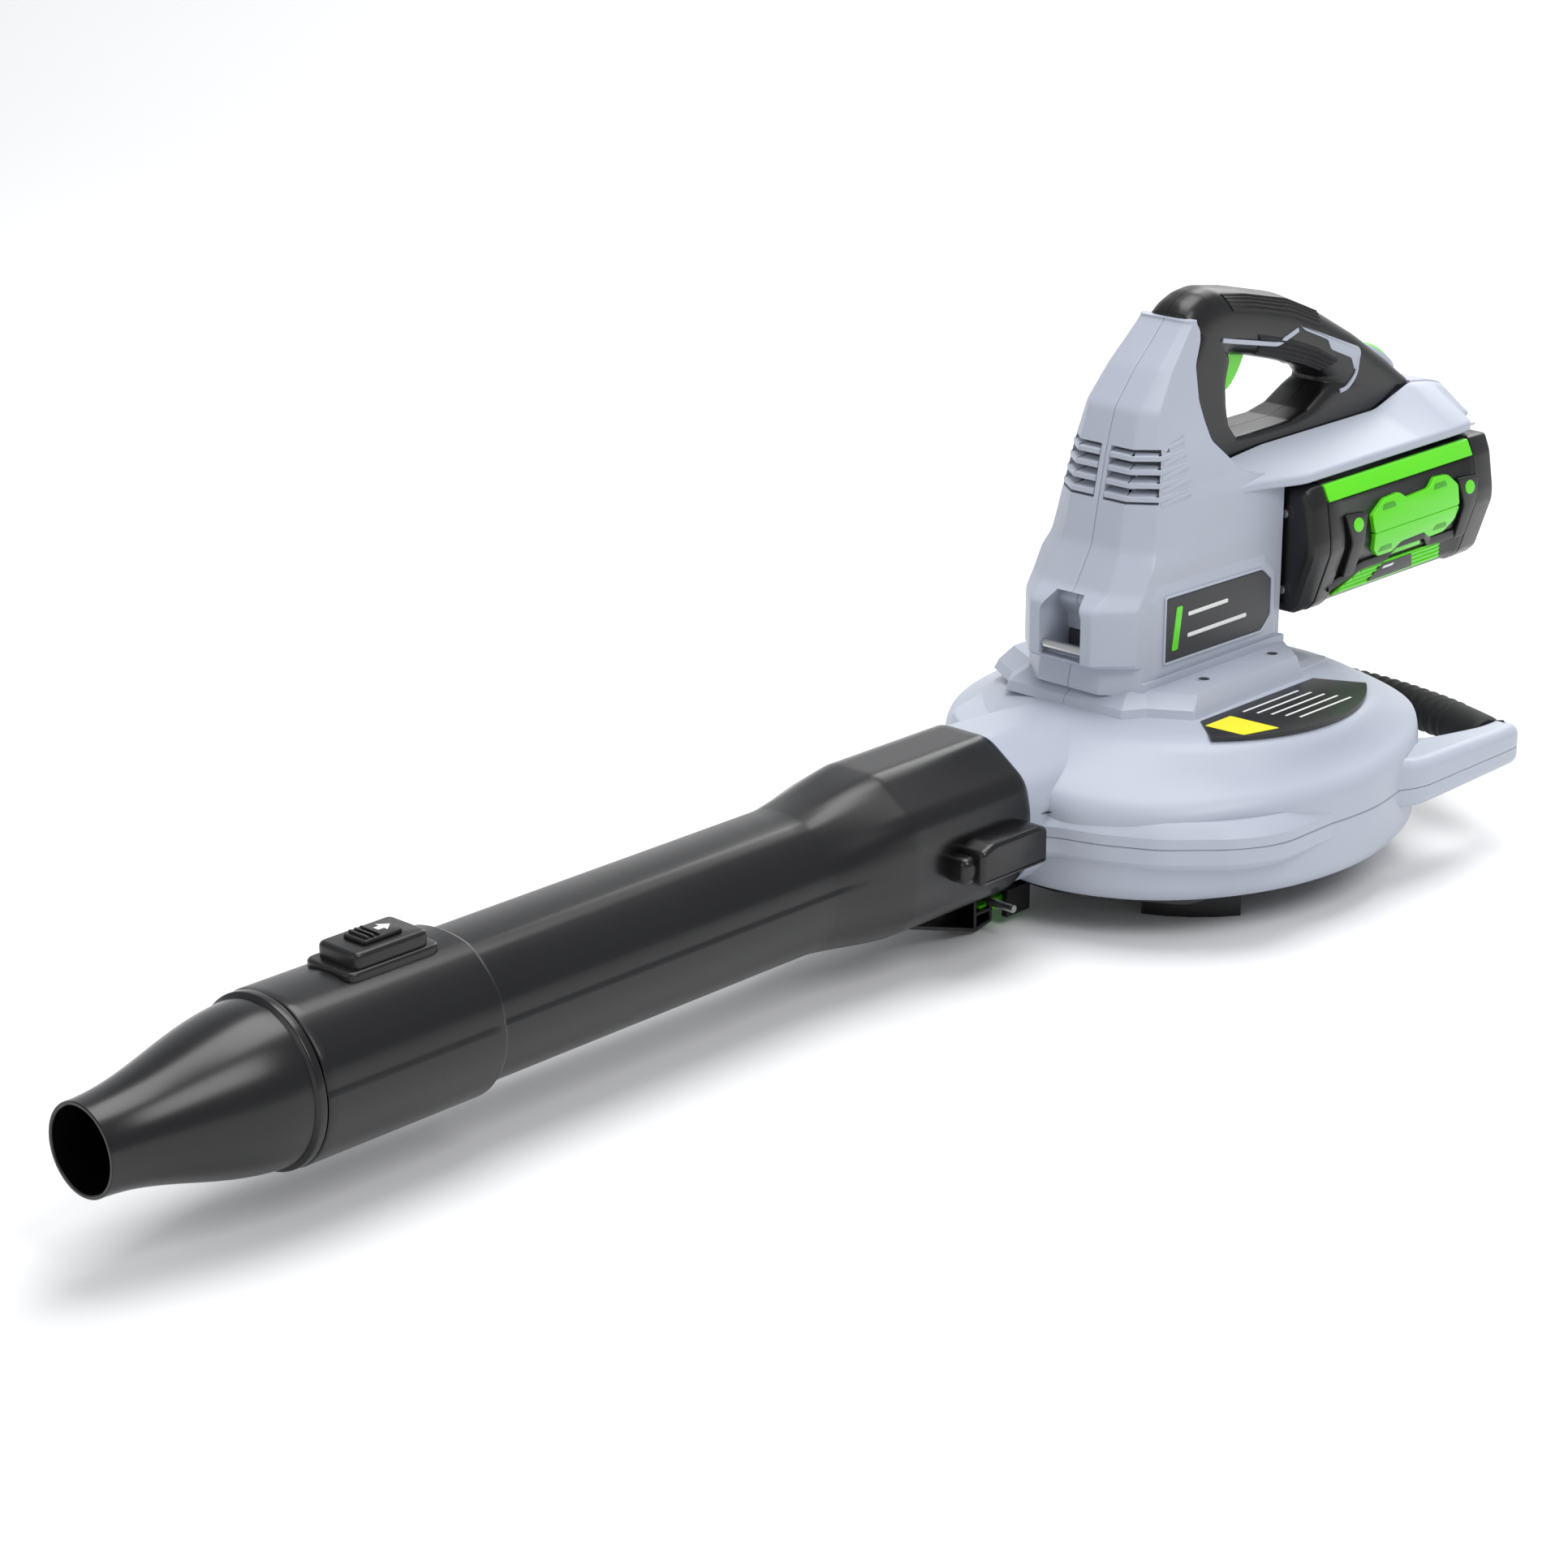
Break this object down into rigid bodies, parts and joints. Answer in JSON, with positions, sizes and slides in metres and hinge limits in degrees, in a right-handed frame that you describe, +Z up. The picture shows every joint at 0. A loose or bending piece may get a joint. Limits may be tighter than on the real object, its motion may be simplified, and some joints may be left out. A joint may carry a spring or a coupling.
{
  "type": "cordless leaf blower",
  "caption": "Hand-held cordless blower and vacuum: scroll casing with fan and motor, tower handle, slide-in battery and a long tube with a removable nozzle.",
  "frame": {"origin": "middle of the whole object's footprint, on the ground under its three feet", "axes": "+X along the air stream to the nozzle, +Y to the side that shows the fan casing's auxiliary arm, +Z up"},
  "size_m": [1.166, 0.29, 0.367],
  "materials": {
    "grey_shell": "fine moulded texture, light bluish grey",
    "black_shell": "fine moulded texture, black",
    "black_tube": "smooth semi-gloss blow-moulded black",
    "rubber_grip": "soft ribbed overmould",
    "green_part": "smooth lime green",
    "dark_badge": "dark grey insert",
    "label_film": "printed film",
    "steel": "turned steel",
    "motor_steel": "pressed steel",
    "aluminium": "machined",
    "copper_contact": "wound copper",
    "fan_nylon": "glass-filled nylon",
    "cell_wrap": "shrink wrap",
    "circuit_board": "solder mask"
  },
  "bodies": {
    "housing": {"lower_scroll_shell": "grey_shell", "upper_scroll_shell": "grey_shell", "intake_ring": "black_shell", "door_hinge_pin": "steel", "left_housing_shell": "grey_shell", "right_housing_shell": "grey_shell", "left_handle_frame": "black_shell", "right_handle_frame": "black_shell", "left_nameplate": "dark_badge", "right_nameplate": "dark_badge", "left_grip_pad": "rubber_grip", "right_grip_pad": "rubber_grip", "strap_bar": "steel", "control_board": "circuit_board", "trigger_switch": "circuit_board", "trigger_pin": "steel", "battery_terminal_block": "black_shell", "left_battery_rail": "aluminium", "right_battery_rail": "aluminium", "housing_screw_1": "steel", "housing_screw_2": "steel", "housing_screw_3": "steel", "housing_screw_4": "steel", "motor_mount_plate": "aluminium", "motor_can": "motor_steel", "stator": "copper_contact", "lower_bearing": "steel", "upper_bearing": "steel", "hook_bracket": "black_shell", "hook_pin": "steel", "aux_bar": "aluminium", "aux_grip": "rubber_grip", "rating_label": "label_film"},
    "fan": {"impeller": "fan_nylon", "impeller_nut": "steel", "rotor_shaft": "steel", "rotor_magnets": "motor_steel"},
    "trigger_lever": {"trigger": "green_part"},
    "release_key": {"release_button": "green_part"},
    "latch": {"battery_latch": "black_shell"},
    "battery": {"battery_case": "black_shell", "battery_front_cap": "black_shell", "battery_rear_cap": "black_shell", "battery_left_strip": "green_part", "battery_right_strip": "green_part", "battery_left_clip": "green_part", "battery_right_clip": "green_part", "battery_cell_pack": "cell_wrap", "battery_screw_1": "steel", "battery_screw_2": "steel", "battery_screw_3": "steel", "battery_screw_4": "steel"},
    "tube": {"blower_tube": "black_tube", "tube_catch_pin": "steel", "nozzle_latch_housing": "black_shell"},
    "nozzle_body": {"nozzle": "black_tube"},
    "nozzle_lock": {"nozzle_lock_slider": "green_part"},
    "catch_hook": {"tube_hook": "green_part"},
    "door": {"intake_door": "black_shell"}
  },
  "joints": [
    {"name": "impeller_spin", "type": "hinge", "parent": "housing", "child": "fan", "pos_m": [-0.277, 0.005, 0.06], "axis": [0, 0, 1], "continuous": true},
    {"name": "trigger_pull", "type": "hinge", "parent": "housing", "child": "trigger_lever", "pos_m": [-0.323, -0.027, 0.33], "axis": [0, 1, 0], "range_deg": [0, 12], "stiffness_Nm_per_rad": 0.6, "springref_deg": -11.46},
    {"name": "release_press", "type": "slide", "parent": "housing", "child": "release_key", "axis": [0.5878, 0, -0.809], "range_m": [0, 0.003], "stiffness_N_per_m": 900, "springref_m": -0.002},
    {"name": "battery_latch_lift", "type": "slide", "parent": "housing", "child": "latch", "axis": [0, 0, 1], "range_m": [0, 0.0041]},
    {"name": "battery_slide", "type": "slide", "parent": "housing", "child": "battery", "axis": [-1, 0, 0], "range_m": [0, 0.2]},
    {"name": "tube_slide", "type": "slide", "parent": "housing", "child": "tube", "axis": [1, 0, 0], "range_m": [0, 0.06]},
    {"name": "nozzle_slide", "type": "slide", "parent": "tube", "child": "nozzle_body", "axis": [1, 0, 0], "range_m": [0, 0.08]},
    {"name": "nozzle_lock_press", "type": "slide", "parent": "tube", "child": "nozzle_lock", "axis": [-1, 0, 0], "range_m": [0, 0.005], "stiffness_N_per_m": 600, "springref_m": -0.003},
    {"name": "tube_hook_swing", "type": "hinge", "parent": "housing", "child": "catch_hook", "pos_m": [-0.115, -0.027, 0.013], "axis": [0, 1, 0], "range_deg": [0, 12], "stiffness_Nm_per_rad": 0.6, "springref_deg": -11.46},
    {"name": "intake_door_swing", "type": "hinge", "parent": "housing", "child": "door", "pos_m": [-0.337, 0.005, 0.0205], "axis": [0, 1, 0], "range_deg": [0, 72]}
  ],
  "couplings": [
    {"joint": "battery_latch_lift", "follows": "release_press", "ratio": 1.3}
  ]
}
